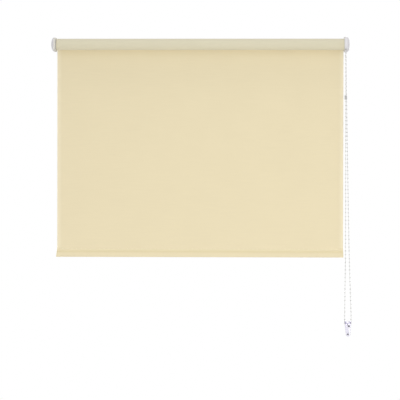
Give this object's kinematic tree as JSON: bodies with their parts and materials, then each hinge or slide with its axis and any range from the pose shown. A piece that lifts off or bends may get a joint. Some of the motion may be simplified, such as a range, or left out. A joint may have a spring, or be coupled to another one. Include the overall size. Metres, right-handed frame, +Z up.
{
  "type": "roller blind",
  "caption": "Wall-mounted roller blind: cloth on a tube between two covered brackets, a sewn weighted hem, and a bead chain loop that turns the tube and runs round a wall tensioner.",
  "frame": {"origin": "middle of the four bracket screw holes, on the wall plane, level with the roller's axis", "axes": "+X to the right along the roller as seen from the room, +Y into the wall, +Z up"},
  "size_m": [0.9451, 0.0702, 0.9401],
  "materials": {
    "bracket_plastic": "moulded, fine grain",
    "cover_plastic": "moulded, satin",
    "mechanism_plastic": "moulded, plain",
    "spring_steel": "bright drawn",
    "screw_steel": "zinc plated, dull",
    "mill_aluminium": "mill finish",
    "blind_cloth": "plain weave, coated, matt",
    "sewing_thread": "spun polyester",
    "adhesive_tape": "double-sided film",
    "chain_plastic": "moulded beads on a cord",
    "joiner_plastic": "moulded",
    "clear_plastic": "clear, polished",
    "plug_plastic": "moulded"
  },
  "bodies": {
    "frame": {"left_bracket": "bracket_plastic", "left_cover": "cover_plastic", "right_bracket": "bracket_plastic", "right_cover": "cover_plastic", "chain_guard": "bracket_plastic", "clutch_spindle": "mechanism_plastic", "spindle_clip": "spring_steel", "tensioner_body": "clear_plastic", "tensioner_screws": "screw_steel", "bead_chain": "chain_plastic", "fabric_panel": "blind_cloth"},
    "roller": {"roller_tube": "mill_aluminium", "fixing_tape": "adhesive_tape", "fabric_roll": "blind_cloth", "idler_plug": "mechanism_plastic", "idler_spring": "spring_steel", "tube_crown": "mechanism_plastic"},
    "chain_wheel": {"chain_wheel": "mechanism_plastic", "brake_spring": "spring_steel"},
    "hem": {"hem_pocket": "blind_cloth", "hem_bar": "mill_aluminium", "hem_plug_left": "plug_plastic", "hem_plug_right": "plug_plastic", "hem_stitching": "sewing_thread"},
    "joiner": {"chain_joiner": "joiner_plastic"},
    "idler_pin": {"idler_pin": "spring_steel"}
  },
  "joints": [
    {"name": "roller_spin", "type": "hinge", "parent": "frame", "child": "roller", "pos_m": [0, -0.03, 0], "axis": [1, 0, 0], "range_deg": [-500, 1970]},
    {"name": "hem_lift", "type": "slide", "parent": "frame", "child": "hem", "axis": [0, 0, 1], "range_m": [-0.15535, 0.61177], "deforming": ["fabric_panel"]},
    {"name": "chain_wheel_spin", "type": "hinge", "parent": "frame", "child": "chain_wheel", "pos_m": [0, -0.03, 0], "axis": [1, 0, 0], "range_deg": [-500, 1970]},
    {"name": "joiner_run", "type": "slide", "parent": "frame", "child": "joiner", "axis": [-0.0014, 0.0428, -0.9991], "range_m": [-0.13343, 0.52543]},
    {"name": "idler_pin_push", "type": "slide", "parent": "roller", "child": "idler_pin", "axis": [1, 0, 0], "range_m": [0, 0.006], "stiffness_N_per_m": 400, "springref_m": -0.01, "deforming": ["idler_spring"]}
  ],
  "couplings": [
    {"joint": "hem_lift", "follows": "roller_spin", "m_per_rad": 0.01779},
    {"joint": "chain_wheel_spin", "follows": "roller_spin", "ratio": 1},
    {"joint": "joiner_run", "follows": "roller_spin", "m_per_rad": 0.015279}
  ]
}
